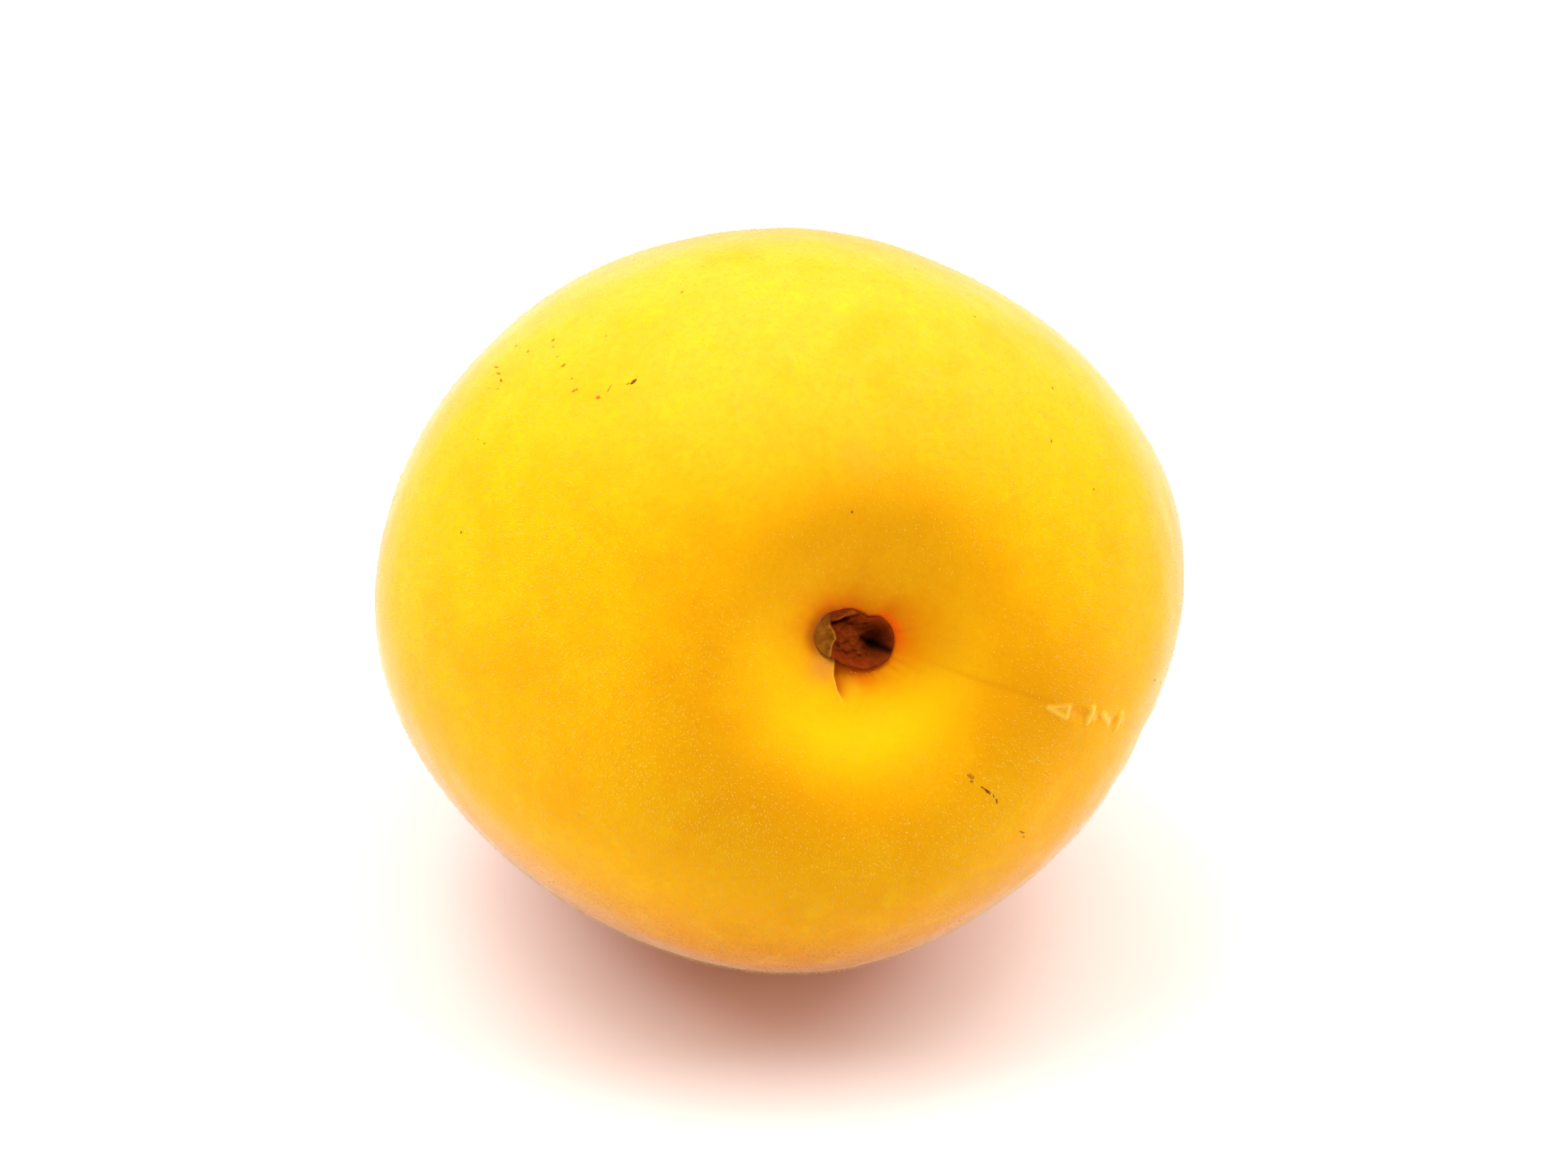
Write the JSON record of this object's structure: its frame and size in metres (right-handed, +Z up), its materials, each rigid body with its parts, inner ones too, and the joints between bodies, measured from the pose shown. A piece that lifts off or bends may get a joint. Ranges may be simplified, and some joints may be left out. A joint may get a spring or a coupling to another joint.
{
  "type": "apricot",
  "caption": "Whole ripe apricot at rest on a small flat spot, with a dished stem hollow, dried stalk remnant, shallow suture furrow and a dimpled apex.",
  "frame": {"origin": "middle of the flat spot that the fruit rests on", "axes": "+Z up as it rests; the stem end faces -Y and 24 degrees up, and the suture faces +X and a little down"},
  "size_m": [0.051, 0.0497, 0.0475],
  "materials": {
    "apricot_skin": "finely downy skin, satin, yellow to orange",
    "dry_stalk": "dry, torn, matt brown"
  },
  "bodies": {
    "root": {"fruit": "apricot_skin", "stalk_stub": "dry_stalk"}
  },
  "joints": []
}
